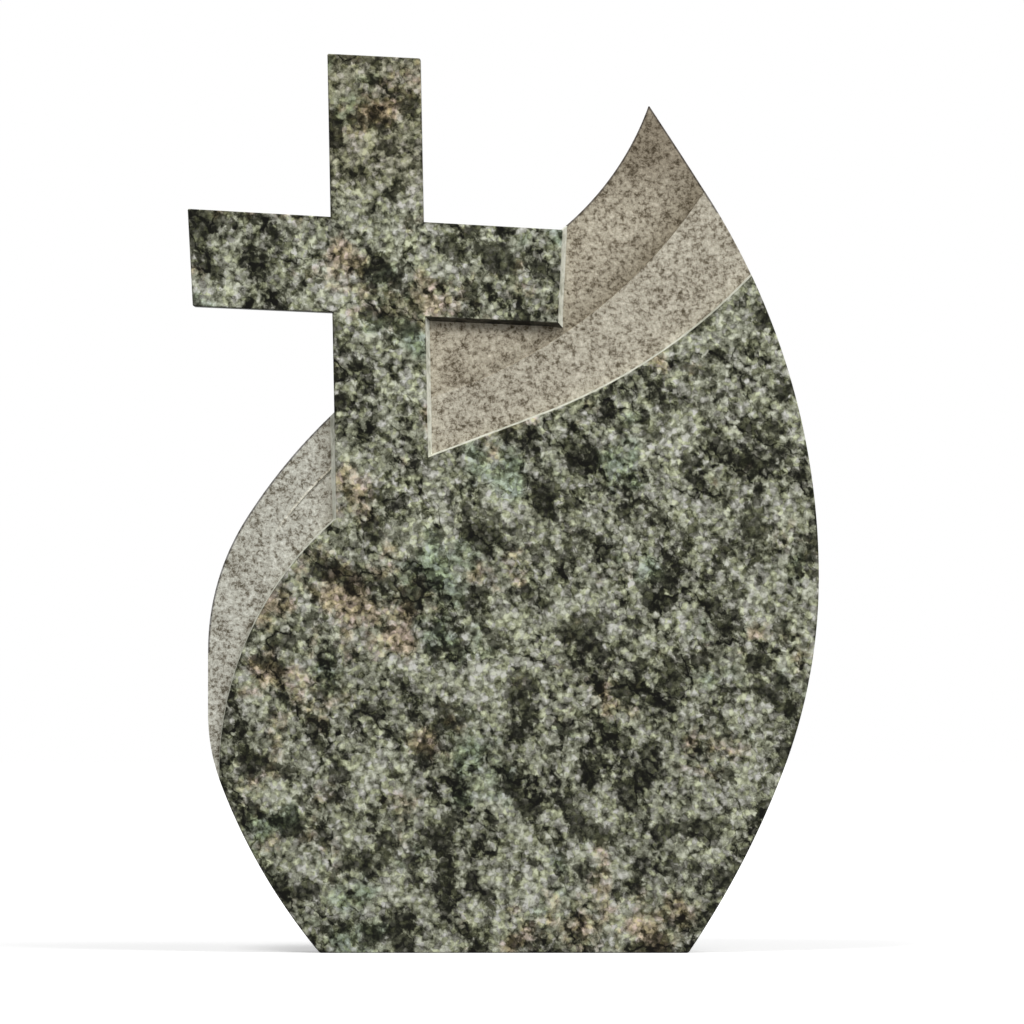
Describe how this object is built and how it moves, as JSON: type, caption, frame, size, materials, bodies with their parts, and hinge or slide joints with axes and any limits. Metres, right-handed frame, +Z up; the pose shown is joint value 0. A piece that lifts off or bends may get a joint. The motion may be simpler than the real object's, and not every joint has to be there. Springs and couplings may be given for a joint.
{
  "type": "leaf-shaped headstone with latin cross",
  "caption": "Slab headstone in mottled green-grey granite: a leaf-shaped body with a pointed tip, a latin cross cut from the same slab, and a sunk hammered band sweeping behind it.",
  "frame": {"origin": "middle of the flat underside, at half the slab's thickness", "axes": "+Z up, -Y toward the viewer of the front face, +X to the viewer's right"},
  "size_m": [0.6313, 0.1, 0.8993],
  "materials": {
    "granite": "polished, with a bush-hammered band"
  },
  "bodies": {
    "root": {"headstone": "granite"}
  },
  "joints": []
}
